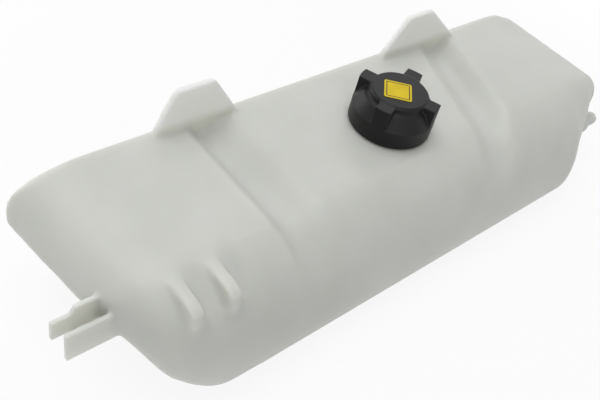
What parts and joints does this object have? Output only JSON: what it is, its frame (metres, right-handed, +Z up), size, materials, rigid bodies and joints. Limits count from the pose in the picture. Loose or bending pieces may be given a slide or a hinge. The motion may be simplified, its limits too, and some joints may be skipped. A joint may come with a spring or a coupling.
{
  "type": "coolant expansion tank",
  "caption": "Long translucent blow-moulded coolant expansion tank with mounting tongues, a hose spigot and a lugged screw cap with pressure and vacuum valves.",
  "frame": {"origin": "on the flat underside, straight below the filler neck's axis", "axes": "+Z up along the filler neck, +X along the tank towards the hose spigot's end, +Y towards the rear wall with the mounting tongues"},
  "size_m": [0.5601, 0.161, 0.134],
  "materials": {
    "tank_plastic": "milky translucent, fine blow-moulded skin",
    "cap_plastic": "fine matt moulded",
    "sticker": "satin film",
    "housing_plastic": "moulded",
    "seal_rubber": "smooth",
    "spring_steel": "drawn wire",
    "valve_brass": "turned"
  },
  "bodies": {
    "tank": {"tank": "tank_plastic"},
    "valve_unit": {"valve_housing": "housing_plastic", "housing_o_ring": "seal_rubber", "spring_cover": "housing_plastic", "pressure_spring": "spring_steel"},
    "cap": {"cap_shell": "cap_plastic", "cap_sticker": "sticker"},
    "pressure_valve": {"pressure_plate": "valve_brass", "pressure_seal": "seal_rubber", "vacuum_spring": "spring_steel"},
    "vacuum_valve": {"vacuum_valve": "valve_brass", "vacuum_seal": "seal_rubber", "vacuum_clip": "spring_steel"}
  },
  "joints": [
    {"name": "cap_lift", "type": "slide", "parent": "tank", "child": "valve_unit", "axis": [0, 0, 1], "range_m": [0, 0.01]},
    {"name": "cap_turn", "type": "hinge", "parent": "valve_unit", "child": "cap", "pos_m": [0, 0, 0.11], "axis": [0, 0, 1], "range_deg": [0, 900]},
    {"name": "pressure_relief", "type": "slide", "parent": "valve_unit", "child": "pressure_valve", "axis": [0, 0, 1], "range_m": [0, 0.002], "stiffness_N_per_m": 8000, "springref_m": -0.003, "deforming": ["pressure_spring"]},
    {"name": "vacuum_relief", "type": "slide", "parent": "pressure_valve", "child": "vacuum_valve", "axis": [0, 0, 1], "range_m": [-0.002, 0], "stiffness_N_per_m": 300, "springref_m": 0.002, "deforming": ["vacuum_spring"]}
  ],
  "couplings": [
    {"joint": "cap_turn", "follows": "cap_lift", "rad_per_m": 1570.8}
  ]
}
